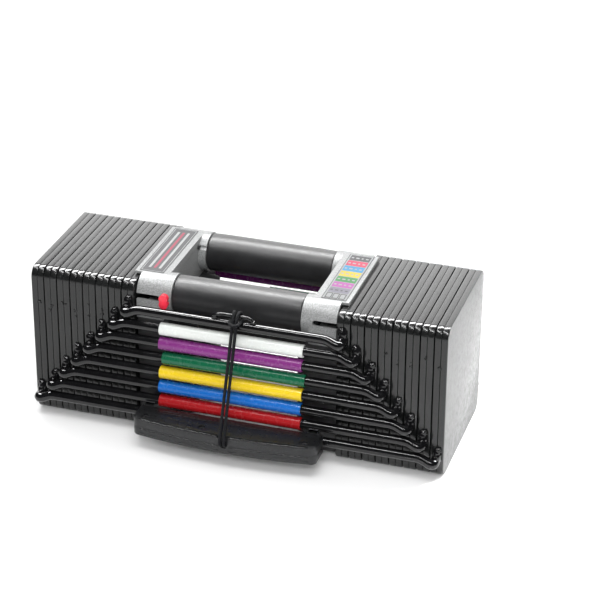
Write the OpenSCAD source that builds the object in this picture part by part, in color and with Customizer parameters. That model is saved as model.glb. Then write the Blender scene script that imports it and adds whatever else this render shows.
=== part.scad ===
// Adjustable dumbbell with nested weights.
// Eight rail-joined weights nest round a handle core, and a selector pin
// slides under a pair of rails to choose how many of them lift with it.
// +X runs along the block, -Y is the side that the selector pin enters,
// +Z is up, and the floor is at Z = 0.

/* [Plates] */
// Length over the two outermost plates
block_length = 406; // [402:1:412]
// Depth of every plate from its front edge to its rear edge
plate_depth = 138; // [134:1:142]
// Height of every plate
plate_height = 154; // [152:1:158]
// Corner radius of every plate
plate_corner = 11; // [8:1:14]
// Distance from one weight to the next along the block
weight_pitch = 13.1; // [12.9:0.1:13.2]
// Free gap between neighbouring weights
weight_gap = 0.8; // [0.6:0.1:1]
// Seam between the two laminations of a plate
lamination_seam = 0.2; // [0.1:0.1:0.4]

/* [Rails] */
// Diameter of the rail rods
rail_diameter = 9; // [8.5:0.1:9]
// Height step from one rail to the next
rail_pitch = 15.4; // [15.2:0.1:15.6]
// Height of the lowest rail's centre
lowest_rail_z = 24.3; // [24:0.1:26]
// Distance of the rail centres outside the plates' edges
rail_standoff = 9.8; // [9.5:0.1:10.5]
// Outer diameter of the coloured sleeves
sleeve_diameter = 12.4; // [11.5:0.1:12.5]
// Length of the coloured sleeves
sleeve_length = 140; // [130:1:140]

/* [Handle core] */
// Top of the end housings
housing_top = 157.6; // [157:0.1:159]
// Half distance between the inner faces of the housings
housing_inner = 63.5; // [60:0.5:64]
// Half distance between the outer faces of the housings
housing_outer = 97.5; // [96:0.5:98]
// Half width of the top flange that laps over the innermost plates
flange_outer = 104.6; // [101:0.1:105]
// Distance of each padded tube from the middle
tube_y = 47; // [46:0.5:48]
// Height of the padded tubes' centres
tube_z = 138.5; // [138:0.1:139]
// Outer diameter of the tube pads
pad_diameter = 37; // [35:0.5:37]
// Outer diameter of the steel tubes
tube_outer = 32; // [31.6:0.1:32.4]
// Bore of the steel tubes
tube_bore = 29; // [28.8:0.1:29.2]
// Diameter of the hand grip's rubber at its ends
grip_diameter = 33; // [30:0.5:34]

/* [Selector pin] */
// The pin rests under this weight's rails
pin_level = 7; // [7:1:7]
// Length of the pin handle along the block
pin_length = 180; // [178:1:181]
// Height of the pin handle
pin_height = 20; // [19.5:0.5:21]
// Depth of the pin handle at its ends
pin_depth = 23.5; // [22.5:0.5:25]
// How far the front of the pin handle bulges in the middle
pin_bulge = 7.5; // [6:0.5:8]
// How far the handle's middle lies below the prongs
handle_drop = 5; // [4.5:0.1:5]
// Width of each prong
prong_width = 9; // [8.5:0.5:9]
// Thickness of each prong
prong_thickness = 5; // [4.5:0.1:5.2]
// Half distance from the middle to the prongs' centres
prong_x = 81; // [81:0.1:81.4]

/* [Tether] */
// Diameter of the braided elastic cord
cord_diameter = 3; // [2.6:0.1:3]

/* [Hidden] */
WEIGHTS = 8;
SIDES = ["left", "right"];

// Plates and rails
lamination = (weight_pitch - weight_gap - lamination_seam) / 2;
plate_face_y = plate_depth / 2;
rail_y = plate_face_y + rail_standoff;
rail_radius = rail_diameter / 2;
hook_drop = 3.5;        // the rail's end sits this much lower than the rail
hook_forward = 1;       // and this much further from the plate
hook_run = 9;           // length over which the rail bends down
knuckle_radius = 5;     // the bend's outer swelling
sleeve_clearance = 0.1;
// Where the loose sleeves sit along their rails: two rear ones lie at one end
front_shift = [0, 1, 0, 3, 0, -1, -1, 0];
rear_shift = [0, -1, 0, 55, 55, 1, 1, 0];
// The front of the pin handle reaches further out than the prongs' tips do
// behind, so the block sits back by half the difference
prong_tip_y = 86;
pin_back_y = -(rail_y + sleeve_diameter / 2 + 2.4);
pin_front_y = pin_back_y - pin_depth - pin_bulge;
block_y = -(pin_front_y + prong_tip_y) / 2;

function weight_inner_x(n) = block_length / 2 - (WEIGHTS + 1 - n) * weight_pitch + weight_gap;
function weight_middle_x(n) = weight_inner_x(n) + lamination + lamination_seam / 2;
function rail_z(n) = lowest_rail_z + (WEIGHTS - n) * rail_pitch;
// Slot 0 is above rail 1, and slot n is under rail n
function slot_z(n) = rail_z(n) - rail_pitch / 2;

// Core
housing_bottom = 118;
housing_round = housing_top - tube_z;   // the housings wrap round the tubes
housing_front = tube_y + housing_round; // half depth of the housings
waist_x = 71;           // the housings narrow to this between the tubes
flange_thickness = 2.6;
flange_half_depth = 50;
slot_inner_x = 74.5;
slot_height = 6;
tower_inner_x = 66;
tower_half_depth = 64;
tower_bottom = 6;
pillar_radius = 8;
pillar_x = 58;
pillar_y = 31;
clamp_screw_y = 30;
clamp_screw_z = 150;
clamp_screw_head = 5;
tube_reach = 74;        // the steel tubes end this far from the middle
adder_diameter = 28.4;
adder_length = 146;
adder_groove = 5.5;
adder_groove_depth = 2;
tube_hole = 9.2;
label_x = 89;
label_width = 24;
label_length = 95;
label_thickness = 0.4;
knob_x = 69;
knob_z = 140;
knob_lobe = 8.6;
knob_lobe_z = 2.8;      // each lobe's centre above and below the knob's
knob_thickness = 5.3;
knob_gap = 0.3;
stem_diameter = 4;
collar_diameter = 8.4;
collar_thickness = 0.8;
spring_pocket = 2.4;    // depth cut into the housing's wall from inside
spring_wire = 0.5;
spring_radius = 3.4;
spring_turns = 2;
grip_z = rail_z(4);     // between two slots, so that the bolts clear the prongs
grip_bar_diameter = 20;
grip_reach = 71;
bolt_shank = 5;
bolt_head = 8;
bolt_head_depth = 4;
bolt_reach = 20;        // how far the bolts go into the grip bar

// Selector pin
pin_z = slot_z(pin_level);
handle_x = 3;           // the handle is a little longer at its right end
handle_z = pin_z - handle_drop;
fork_front_y = pin_back_y - 15;
fork_bar_depth = 12;
shell_split = 0.2;
fork_clearance = 0.1;
pin_screw_x = [-75, -18, 81];
pin_screw_front_y = pin_front_y + 8.5;
pin_screw_end_y = pin_front_y + 11.5;
magnet_x = 50;
magnet_y = fork_front_y + fork_bar_depth + 0.2;
magnet_diameter = 10;
magnet_thickness = 2;

// Tether
staple_wire = 3.2;
staple_half = 20;
staple_x = 3;
staple_z = rail_z(1) + rail_radius + 5.3;
tether_x = 6;
tether_hole = 7;        // width of the cord's hole in the front of the pin
ferrule_width = 9.4;
ferrule_height = 4.6;
ferrule_length = 6;
ferrule_y = pin_front_y + 8;
cord_split = 1.8;       // half distance between the cord's two strands
cord_sides = 8;
cord_step = 6;          // longest distance from one ring of the cord to the next
// Half of the cord, from the pin up to the hitch round the staple: each point
// is [distance left of the tether's middle, y, z]
half_route = [
    [1.8, -106, 27], [1.8, -113, 27], [1.8, -119, 27.2], [1.9, -122.6, 29.5], [2, -122.8, 34],
    [2, -120.5, 41], [2, -112, 64], [1.9, -103.5, 87], [1.8, -95, 110], [1.8, -87.5, 130],
    [1.8, -85.6, 136], [1.9, -82.8, 141.6], [2.3, -79.4, 145.6], [3.3, -75.4, 144.2],
    [4.4, -74.9, 140.6], [5.1, -78, 138.2], [5.1, -83, 138], [3.7, -87.4, 137.4], [0, -88.9, 137]
];

/* Plain helpers */

module placed() {
    translate([0, block_y, 0]) children();
}

// Mirrors the right side's shape to the left
module on_side(side) {
    if (side == "left") mirror([1, 0, 0]) children();
    else children();
}

// The rear of the core is the front turned half round
module on_end(end) {
    if (end == "rear") rotate([0, 0, 180]) children();
    else children();
}

module rounded_rect(width, height, radius) {
    square([width - 2 * radius, height], center = true);
    square([width, height - 2 * radius], center = true);
    for (x = [-1, 1], y = [-1, 1])
        translate([x * (width / 2 - radius), y * (height / 2 - radius)]) circle(r = radius, $fn = 64);
}

module rod_between(a, b, radius) {
    d = b - a;
    length = norm(d);
    translate(a)
        rotate([0, acos(d.z / length), atan2(d.y, d.x)])
            cylinder(r = radius, h = length, $fn = 48);
}

module rod_x(x0, x1, y, z, radius) {
    translate([x0, y, z]) rotate([0, 90, 0]) cylinder(r = radius, h = x1 - x0, $fn = 96);
}

/* Weights */

// One side of a weight: two laminations with a seam between them
module side_plates(n) {
    for (i = [0, 1])
        translate([weight_inner_x(n) + i * (lamination + lamination_seam), 0, plate_height / 2])
            rotate([90, 0, 90])
                linear_extrude(height = lamination)
                    rounded_rect(plate_depth, plate_height, plate_corner);
}

module plates(n, side) {
    color("#2b2c2e") placed() on_side(side) side_plates(n);
}

// Half of a front rail: the rod bends down and out, then in to its plate
module rail_end(n) {
    x = weight_middle_x(n);
    z = rail_z(n);
    bend = [x - hook_run, -rail_y, z];
    knuckle = [x, -rail_y - hook_forward, z - hook_drop];
    rod_x(0, x - hook_run, -rail_y, z, rail_radius);
    translate(bend) sphere(r = rail_radius + 0.15, $fn = 48);
    rod_between(bend, knuckle, rail_radius);
    translate(knuckle) sphere(r = knuckle_radius, $fn = 48);
    rod_between(knuckle, [x, -plate_face_y, z - hook_drop], rail_radius);
}

module rail(n) {
    rail_end(n);
    mirror([1, 0, 0]) rail_end(n);
}

module rails(n) {
    color("#1c1d1f") placed() {
        rail(n);
        mirror([0, 1, 0]) rail(n);
    }
}

// One pair of coloured sleeves, on the front rail and the rear rail
module sleeves(n, tint) {
    color(tint) placed()
        for (place = [[front_shift[n - 1], -rail_y], [rear_shift[n - 1], rail_y]])
            translate([place.x - sleeve_length / 2, place.y, rail_z(n)])
                rotate([0, 90, 0])
                    linear_extrude(height = sleeve_length)
                        difference() {
                            circle(d = sleeve_diameter, $fn = 64);
                            circle(d = rail_diameter + 2 * sleeve_clearance, $fn = 64);
                        }
}

/* Handle core */

// Outline of a housing seen from its end: flat on top, round at its edges
module housing_profile() {
    for (y = [-tube_y, tube_y])
        translate([y, tube_z]) circle(r = housing_round, $fn = 96);
    translate([-tube_y, housing_bottom])
        square([2 * tube_y, housing_top - housing_bottom]);
    translate([-housing_front, housing_bottom])
        square([2 * housing_front, tube_z - housing_bottom]);
}

// Channel that a prong slides in, open to the outer side, right through in Y
module slot(z) {
    reach = plate_depth;
    inner = slot_inner_x + slot_height / 2;
    translate([inner, reach, z])
        rotate([90, 0, 0]) cylinder(d = slot_height, h = 2 * reach, $fn = 48);
    translate([inner, -reach, z - slot_height / 2]) cube([flange_outer, 2 * reach, slot_height]);
}

module extrude_x(x0, x1) {
    translate([x0, 0, 0]) rotate([90, 0, 90]) linear_extrude(height = x1 - x0) children();
}

// The right housing, with its lock knob's hole in its rear collar
module housing_body() {
    difference() {
        union() {
            for (y = [-tube_y, tube_y])
                rod_x(housing_inner, housing_outer, y, tube_z, housing_round);
            extrude_x(waist_x, housing_outer)
                housing_profile();
            translate([housing_outer - 1, -flange_half_depth, housing_top - flange_thickness])
                cube([flange_outer - housing_outer + 1, 2 * flange_half_depth, flange_thickness]);
        }
        translate([0, -plate_depth, 0]) cube([flange_outer, 2 * plate_depth, housing_bottom]);
        for (n = [0, 1]) slot(slot_z(n));
        for (y = [-tube_y, tube_y]) rod_x(0, flange_outer, y, tube_z, tube_outer / 2 + 0.05);
        translate([knob_x, tube_y, knob_z])
            rotate([-90, 0, 0]) cylinder(d = stem_diameter + 0.6, h = plate_depth, $fn = 48);
        translate([knob_x, tube_y, knob_z])
            rotate([-90, 0, 0])
                cylinder(d = tube_hole, h = tube_outer / 2 + spring_pocket, $fn = 48);
        translate([0, -clamp_screw_y, clamp_screw_z])
            rotate([0, 90, 0])
                cylinder(d = clamp_screw_head + 0.3, h = waist_x + 2.4, $fn = 48);
    }
}

module housing(side) {
    color("#b9bcbd") placed() on_end(side == "left" ? "rear" : "front") housing_body();
}

// A slotted tower guides the prongs at every level and carries the grip's end
module tower_body() {
    difference() {
        union() {
            translate([tower_inner_x, -tower_half_depth, tower_bottom])
                cube([housing_outer - tower_inner_x, 2 * tower_half_depth,
                    housing_bottom - tower_bottom]);
            for (y = [-pillar_y, pillar_y]) {
                translate([pillar_x, y, tower_bottom])
                    cylinder(r = pillar_radius, h = housing_bottom - tower_bottom, $fn = 64);
                translate([pillar_x, y - pillar_radius, tower_bottom])
                    cube([tower_inner_x - pillar_x + 1, 2 * pillar_radius,
                        housing_bottom - tower_bottom]);
            }
        }
        for (n = [2:WEIGHTS]) slot(slot_z(n));
        rod_x(0, grip_reach + 0.1, 0, grip_z, grip_bar_diameter / 2 + 0.05);
        rod_x(0, flange_outer, 0, grip_z, bolt_shank / 2 + 0.1);
        rod_x(housing_outer - bolt_head_depth - 0.1, flange_outer, 0, grip_z, bolt_head / 2 + 0.1);
    }
}

module tower(side) {
    color("#222324") placed() on_end(side == "left" ? "rear" : "front") tower_body();
}

module label(side, tint) {
    color(tint) placed() on_side(side)
        translate([label_x, 0, housing_top])
            linear_extrude(height = label_thickness) rounded_rect(label_width, label_length, 2);
}

// A front part is modelled as it lies; its rear twin is turned half round
module steel_tube(end) {
    color("#8c8f92") placed() on_end(end)
        difference() {
            rod_x(-tube_reach, tube_reach, -tube_y, tube_z, tube_outer / 2);
            rod_x(-block_length, block_length, -tube_y, tube_z, tube_bore / 2);
            translate([-knob_x, -tube_y, knob_z])
                rotate([90, 0, 0]) cylinder(d = tube_hole, h = tube_outer, $fn = 48);
        }
}

module pad(end) {
    reach = housing_inner - 0.2;
    color("#27282a") placed() on_end(end)
        difference() {
            rod_x(-reach, reach, -tube_y, tube_z, pad_diameter / 2);
            rod_x(-block_length, block_length, -tube_y, tube_z, tube_outer / 2 + 0.05);
        }
}

// Loose cylinder inside a tube, with a groove near each end for the plunger
module adder_weight(end) {
    half = adder_length / 2;
    radius = adder_diameter / 2;
    color("#d8dadc") placed() on_end(end)
        translate([0, -tube_y, tube_z])
            difference() {
                rod_x(-half, half, 0, 0, radius);
                for (x = [-knob_x, knob_x])
                    difference() {
                        rod_x(x - adder_groove / 2, x + adder_groove / 2, 0, 0, radius + 1);
                        rod_x(x - adder_groove, x + adder_groove, 0, 0,
                            radius - adder_groove_depth);
                    }
            }
}

// Two-lobed pull knob on a plunger whose tip drops into the adder's groove
module lock_knob(end) {
    back = -housing_front - knob_gap;
    tip = -tube_y - adder_diameter / 2 + adder_groove_depth - 0.3;
    collar = -tube_y - tube_bore / 2 - 0.3;
    color("#d0242a") placed() on_end(end)
        translate([-knob_x, 0, knob_z]) {
            for (z = [-knob_lobe_z, knob_lobe_z])
                translate([0, back, z])
                    rotate([90, 0, 0]) cylinder(d = knob_lobe, h = knob_thickness, $fn = 64);
            translate([0, tip, 0])
                rotate([90, 0, 0]) cylinder(d = stem_diameter, h = tip - back + 1, $fn = 48);
            translate([0, collar, 0])
                rotate([90, 0, 0])
                    cylinder(d = collar_diameter, h = collar_thickness, $fn = 48);
        }
}

// Small coil between the plunger's collar and the housing's wall
module lock_spring(end) {
    start = -tube_y - tube_bore / 2 - 0.3 - collar_thickness - spring_wire / 2;
    finish = -tube_y - tube_outer / 2 - spring_pocket + spring_wire / 2;
    steps = 16 * spring_turns;
    coil = [for (i = [0:steps])
        [spring_radius * cos(360 * spring_turns * i / steps),
         start + (finish - start) * i / steps,
         spring_radius * sin(360 * spring_turns * i / steps)]];
    color("#c8cacc") placed() on_end(end)
        translate([-knob_x, 0, knob_z]) swept_tube(coil, spring_wire / 2, 6);
}

module grip_bar() {
    color("#6e7173") placed()
        difference() {
            rod_x(-grip_reach, grip_reach, 0, grip_z, grip_bar_diameter / 2);
            for (x = [-grip_reach - 1, grip_reach - bolt_reach])
                rod_x(x, x + bolt_reach + 1, 0, grip_z, bolt_shank / 2 + 0.05);
        }
}

// The rubber has a flange at each end and swells a little in the palm
module grip_rubber() {
    half = tower_inner_x - 0.3;
    r = grip_diameter / 2;
    inner = grip_bar_diameter / 2 + 0.05;
    color("#2a2b2d") placed()
        translate([-half, 0, grip_z])
            rotate([0, 90, 0])
                rotate_extrude($fn = 96)
                    polygon([
                        [inner, 0], [r + 2, 0], [r + 2, 4], [r, 9],
                        [r, half - 25], [r + 1.2, half], [r, half + 25],
                        [r, 2 * half - 9], [r + 2, 2 * half - 4], [r + 2, 2 * half],
                        [inner, 2 * half]
                    ]);
}

module grip_bolts() {
    head = housing_outer - bolt_head_depth;
    color("#9a9c9e") placed()
        for (side = SIDES)
            on_side(side) {
                rod_x(grip_reach - bolt_reach + 1, head, 0, grip_z, bolt_shank / 2);
                difference() {
                    rod_x(head, head + bolt_head_depth, 0, grip_z, bolt_head / 2);
                    translate([head + 1.5, 0, grip_z])
                        rotate([0, 90, 0]) cylinder(d = 4.6, h = bolt_head_depth, $fn = 6);
                }
            }
}

module housing_screws() {
    color("#3a3b3d") placed()
        for (end = ["front", "rear"])
            on_end(end)
                difference() {
                    rod_x(waist_x - 1.5, waist_x + 2.3, -clamp_screw_y, clamp_screw_z,
                        clamp_screw_head / 2);
                    translate([waist_x - 2, -clamp_screw_y, clamp_screw_z])
                        rotate([0, 90, 0]) cylinder(d = 3, h = 2.2, $fn = 6);
                }
}

/* Selector pin */

// Outline of the handle from above, with a bulging front and round corners
module pin_outline(inset) {
    half = pin_length / 2 - inset;
    front = pin_front_y + inset;
    back = pin_back_y - inset;
    corner = 6 - inset;
    bulge_radius = (pow(pin_length / 2, 2) + pow(pin_bulge, 2)) / (2 * pin_bulge);
    inner = half - corner;
    drop = bulge_radius - sqrt(pow(bulge_radius, 2) - pow(inner, 2));
    translate([handle_x, 0]) {
        intersection() {
            translate([0, front + bulge_radius]) circle(r = bulge_radius, $fn = 360);
            translate([-inner, front - 1]) square([2 * inner, back - front + 1]);
        }
        translate([-half, front + drop + corner])
            square([2 * half, back - front - drop - corner]);
        for (x = [-inner, inner])
            translate([x, front + drop + corner]) circle(r = corner, $fn = 64);
    }
}

// Solid half of the handle, with two small steps round its outer edge
module pin_half() {
    half_height = pin_height / 2;
    translate([0, 0, shell_split / 2]) {
        linear_extrude(height = half_height - 1.6 - shell_split / 2) pin_outline(0);
        linear_extrude(height = half_height - 0.7 - shell_split / 2) pin_outline(0.5);
        linear_extrude(height = half_height - shell_split / 2) pin_outline(1.4);
    }
}

// Space inside both shells for the magnets and for the cord's crimped ends
module pin_cavity() {
    for (x = [-magnet_x, magnet_x])
        translate([x, magnet_y - fork_clearance, 0])
            rotate([-90, 0, 0])
                cylinder(d = magnet_diameter + 2 * fork_clearance,
                    h = magnet_thickness + 2 * fork_clearance, $fn = 48);
    translate([tether_x, pin_front_y - 1, 0])
        rotate([-90, 0, 0]) cylinder(d = tether_hole, h = 7, $fn = 48);
    translate([tether_x - ferrule_width / 2 - 0.2, pin_front_y + 4, -ferrule_height / 2 - 0.2])
        cube([ferrule_width + 0.4, fork_front_y - pin_front_y - 4, ferrule_height + 0.4]);
}

module screw_places() {
    for (x = pin_screw_x)
        translate([x, (abs(x) < 50) ? pin_screw_front_y : pin_screw_end_y, 0]) children();
}

// The fork lies in a pocket of the upper shell that is open from below
module pin_upper_shell() {
    color("#2f3032") placed()
        translate([0, 0, handle_z])
            difference() {
                pin_half();
                pin_cavity();
                linear_extrude(height = handle_drop + prong_thickness / 2 + fork_clearance)
                    fork_outline(fork_clearance);
                screw_places() {
                    cylinder(d = 3.4, h = pin_height, $fn = 32);
                    translate([0, 0, pin_height / 2 - 4])
                        cylinder(d = 6.8, h = pin_height, $fn = 48);
                }
            }
}

// A raised bed on the lower shell presses the fork up into its pocket
module pin_lower_shell() {
    bed = handle_drop - prong_thickness / 2 - fork_clearance;
    color("#2f3032") placed()
        translate([0, 0, handle_z])
            difference() {
                union() {
                    mirror([0, 0, 1]) pin_half();
                    translate([0, 0, -1])
                        linear_extrude(height = 1 + bed)
                            intersection() {
                                fork_outline(-3 * fork_clearance);
                                pin_outline(0.5);
                            }
                }
                pin_cavity();
                screw_places() translate([0, 0, -8]) cylinder(d = 3.1, h = 10, $fn = 32);
            }
}

// A flat bar inside the handle with a prong at each end
module fork_outline(grow) {
    half = prong_width / 2 + grow;
    translate([-prong_x - half, fork_front_y - grow])
        square([2 * (prong_x + half), fork_bar_depth + 2 * grow]);
    for (x = [-prong_x, prong_x]) {
        translate([x - half, fork_front_y])
            square([2 * half, prong_tip_y - prong_width / 2 - fork_front_y]);
        translate([x, prong_tip_y - prong_width / 2]) circle(r = half, $fn = 64);
    }
}

module pin_fork() {
    color("#7d8083") placed()
        translate([0, 0, pin_z])
            linear_extrude(height = prong_thickness, center = true) fork_outline(0);
}

module pin_screws() {
    color("#4b4d50") placed()
        translate([0, 0, handle_z])
            screw_places() {
                translate([0, 0, -7.5]) cylinder(d = 3, h = pin_height / 2 + 3.5, $fn = 32);
                difference() {
                    translate([0, 0, pin_height / 2 - 4]) cylinder(d = 6.2, h = 2.6, $fn = 48);
                    translate([0, 0, pin_height / 2 - 2.6]) cylinder(d = 2.6, h = 3, $fn = 6);
                }
            }
}

module pin_magnets() {
    color("#a3a5a8") placed()
        translate([0, 0, handle_z])
            for (x = [-magnet_x, magnet_x])
                translate([x, magnet_y, 0])
                    rotate([-90, 0, 0])
                        cylinder(d = magnet_diameter, h = magnet_thickness, $fn = 48);
}

/* Tether */

// Wire loop welded on top of the upper front rail
module tether_staple() {
    foot = rail_z(1) + rail_radius - 1.2;
    points = [
        [staple_x - staple_half, -rail_y, foot], [staple_x - staple_half + 6, -rail_y, staple_z],
        [staple_x + staple_half - 6, -rail_y, staple_z], [staple_x + staple_half, -rail_y, foot]
    ];
    color("#1c1d1f") placed()
        difference() {
            union() {
                for (i = [0:2]) rod_between(points[i], points[i + 1], staple_wire / 2);
                for (i = [1:2]) translate(points[i]) sphere(d = staple_wire + 0.2, $fn = 32);
            }
            rod_x(-block_length / 2, block_length / 2, -rail_y, rail_z(1), rail_radius);
        }
}

// Both ends of the cord are crimped together inside the pin handle
module tether_ferrule() {
    color("#8c8f92") placed()
        translate([tether_x, ferrule_y, handle_z])
            difference() {
                translate([-ferrule_width / 2, 0, -ferrule_height / 2])
                    cube([ferrule_width, ferrule_length, ferrule_height]);
                for (s = [-1, 1])
                    translate([s * cord_split, -1, 0])
                        rotate([-90, 0, 0])
                            cylinder(d = cord_diameter + 0.1, h = ferrule_length, $fn = 32);
            }
}

function unit(v) = v / norm(v);
function spline(a, b, c, d, t) =
    0.5 * (2 * b + (c - a) * t + (2 * a - 5 * b + 4 * c - d) * t * t
        + (3 * b - a - 3 * c + d) * t * t * t);
// Points of a smooth curve through the route, no further apart than the step
function smooth(p, step) = [
    for (i = [0:len(p) - 2])
        let (parts = max(1, ceil(norm(p[i + 1] - p[i]) / step)))
        for (k = [0:parts - 1])
            spline(p[max(i - 1, 0)], p[i], p[i + 1], p[min(i + 2, len(p) - 1)], k / parts),
    p[len(p) - 1]
];
function tangent(p, i) = unit(p[min(i + 1, len(p) - 1)] - p[max(i - 1, 0)]);
function across(v, t) = unit(v - (v * t) * t);

// Round tube along a list of points, with a frame carried from ring to ring
module swept_tube(points, radius, sides) {
    count = len(points);
    first = across([0.3, 0.2, 0.9], tangent(points, 0));
    ups = [for (i = 0, u = first; i < count;
        i = i + 1, u = across(u, tangent(points, min(i, count - 1)))) u];
    rings = [for (i = [0:count - 1])
        let (t = tangent(points, i), u = across(ups[i], t), v = cross(t, u))
        for (k = [0:sides - 1])
            points[i] + radius * (cos(360 * k / sides) * u + sin(360 * k / sides) * v)];
    walls = [for (i = [0:count - 2], k = [0:sides - 1])
        let (a = i * sides + k, b = i * sides + (k + 1) % sides)
        [a, a + sides, b + sides, b]];
    ends = [[for (k = [0:sides - 1]) k],
        [for (k = [0:sides - 1]) count * sides - 1 - k]];
    polyhedron(points = rings, faces = concat(walls, ends), convexity = 10);
}

// The second half of the cord mirrors the first
module tether_cord() {
    last = len(half_route) - 1;
    left = [for (p = half_route) [tether_x - p.x, p.y, p.z]];
    right = [for (i = [last - 1:-1:0])
        [tether_x + half_route[i].x, half_route[i].y, half_route[i].z]];
    color("#3b3c40") placed()
        swept_tube(smooth(concat(left, right), cord_step), cord_diameter / 2, cord_sides);
}

/* One line draws each node */

plates(1, "left");  // weight_1_left_plates
plates(1, "right");  // weight_1_right_plates
rails(1);  // weight_1_rails
plates(2, "left");  // weight_2_left_plates
plates(2, "right");  // weight_2_right_plates
rails(2);  // weight_2_rails
plates(3, "left");  // weight_3_left_plates
plates(3, "right");  // weight_3_right_plates
rails(3);  // weight_3_rails
plates(4, "left");  // weight_4_left_plates
plates(4, "right");  // weight_4_right_plates
rails(4);  // weight_4_rails
plates(5, "left");  // weight_5_left_plates
plates(5, "right");  // weight_5_right_plates
rails(5);  // weight_5_rails
plates(6, "left");  // weight_6_left_plates
plates(6, "right");  // weight_6_right_plates
rails(6);  // weight_6_rails
plates(7, "left");  // weight_7_left_plates
plates(7, "right");  // weight_7_right_plates
rails(7);  // weight_7_rails
plates(8, "left");  // weight_8_left_plates
plates(8, "right");  // weight_8_right_plates
rails(8);  // weight_8_rails
sleeves(2, "#e4e6e4");  // sleeves_white
sleeves(3, "#8e3f8c");  // sleeves_purple
sleeves(4, "#136b45");  // sleeves_green
sleeves(5, "#f0da25");  // sleeves_yellow
sleeves(6, "#1b6fc4");  // sleeves_blue
sleeves(7, "#c0232b");  // sleeves_red
housing("left");  // left_housing
tower("left");  // left_tower
housing("right");  // right_housing
tower("right");  // right_tower
label("left", "#5a5c5e");  // left_label
label("right", "#c9cbcb");  // right_label
steel_tube("front");  // front_tube
pad("front");  // front_pad
adder_weight("front");  // front_adder_weight
lock_knob("front");  // front_lock_knob
lock_spring("front");  // front_lock_spring
steel_tube("rear");  // rear_tube
pad("rear");  // rear_pad
adder_weight("rear");  // rear_adder_weight
lock_knob("rear");  // rear_lock_knob
lock_spring("rear");  // rear_lock_spring
grip_bar();
grip_rubber();
grip_bolts();
housing_screws();
pin_upper_shell();
pin_lower_shell();
pin_fork();
pin_screws();
pin_magnets();
tether_staple();
tether_ferrule();
tether_cord();
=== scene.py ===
"""Adjustable dumbbell: nested rail-joined weights round a handle core, with a selector pin."""

import math
import random

import bmesh
import bpy
from mathutils import Matrix, Vector, noise


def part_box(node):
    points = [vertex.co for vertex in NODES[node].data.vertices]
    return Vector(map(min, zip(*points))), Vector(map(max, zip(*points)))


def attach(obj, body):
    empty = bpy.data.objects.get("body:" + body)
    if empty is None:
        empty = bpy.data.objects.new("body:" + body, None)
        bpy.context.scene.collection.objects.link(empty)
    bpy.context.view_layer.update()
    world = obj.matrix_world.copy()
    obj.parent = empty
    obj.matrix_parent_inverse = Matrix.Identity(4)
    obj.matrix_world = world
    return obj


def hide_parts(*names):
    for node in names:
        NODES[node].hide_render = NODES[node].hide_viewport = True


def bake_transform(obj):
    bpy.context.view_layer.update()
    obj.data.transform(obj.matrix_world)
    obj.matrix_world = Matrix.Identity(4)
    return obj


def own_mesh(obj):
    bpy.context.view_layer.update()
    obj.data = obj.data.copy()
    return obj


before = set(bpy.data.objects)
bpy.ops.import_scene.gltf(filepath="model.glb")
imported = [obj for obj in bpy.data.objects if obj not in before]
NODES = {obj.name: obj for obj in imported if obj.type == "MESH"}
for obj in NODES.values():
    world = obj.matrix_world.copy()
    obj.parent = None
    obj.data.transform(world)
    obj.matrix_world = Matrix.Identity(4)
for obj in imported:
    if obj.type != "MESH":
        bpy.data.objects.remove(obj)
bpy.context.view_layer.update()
MM = 0.001
WEIGHTS = 8
SIDES = ("left", "right")
TINTS = ("white", "purple", "green", "yellow", "blue", "red")  # the sleeves of weights 2 to 7
random.seed(7)


def centre(node):
    low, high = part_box(node)
    return (low + high) / 2


def size(node):
    low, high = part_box(node)
    return high - low


# ---------------------------------------------------------------- measures
BLOCK_Y = centre("weight_8_left_plates").y
PLATE_FACE = size("weight_8_left_plates").y / 2      # plates' front face, from the block's middle
RAIL_RADIUS = 4.5 * MM
RAIL_Y = PLATE_FACE + 9.8 * MM
HOOK_DROP = 4 * MM                                   # a rail's ends lie this much lower
SLEEVE_RADIUS = size("sleeves_red").z / 2
SLEEVE_LENGTH = 140 * MM
TUBE_Y = abs(centre("front_pad").y - BLOCK_Y)
TUBE_Z = centre("front_pad").z
PAD_RADIUS = size("front_pad").z / 2
GRIP_Z = centre("grip_bar").z
HANDLE_Z = (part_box("pin_upper_shell")[1].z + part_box("pin_lower_shell")[0].z) / 2
PIN_BULGE = 7.5 * MM                                 # of the pin handle's front, in its middle
STAPLE_RADIUS = 1.6 * MM

# Where the front and rear sleeve of each colour lie along their rails, in mm
SLEEVE_SHIFT = {"white": (1, -1), "purple": (0, 0), "green": (3, 55), "yellow": (0, 55),
                "blue": (-1, 1), "red": (-1, 1)}

CORD_X = 6 * MM
CORD_DIAMETER = 3 * MM
# Half of the cord, from the pin to the hitch: (distance left of its middle, y, z) in mm,
# with y from the middle of the block
HALF_ROUTE = (
    (1.8, -106, 27), (1.8, -113, 27), (1.8, -119, 27.2), (1.9, -122.6, 29.5), (2, -122.8, 34),
    (2, -120.5, 41), (2, -112, 64), (1.9, -103.5, 87), (1.8, -95, 110), (1.8, -87.5, 130),
    (1.8, -85.6, 136), (1.9, -82.8, 141.6), (2.3, -79.4, 145.6), (3.3, -75.4, 144.2),
    (4.4, -74.9, 140.6), (5.1, -78, 138.2), (5.1, -83, 138), (3.7, -87.4, 137.4), (0, -88.9, 137))


def rail_z(n):
    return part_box(f"weight_{n}_rails")[1].z - RAIL_RADIUS


def weight_x(n):
    """Middle of the right-hand plates of a weight."""
    return centre(f"weight_{n}_right_plates").x


def weight_body(n):
    return "base_weight" if n == WEIGHTS else "stack"


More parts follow.
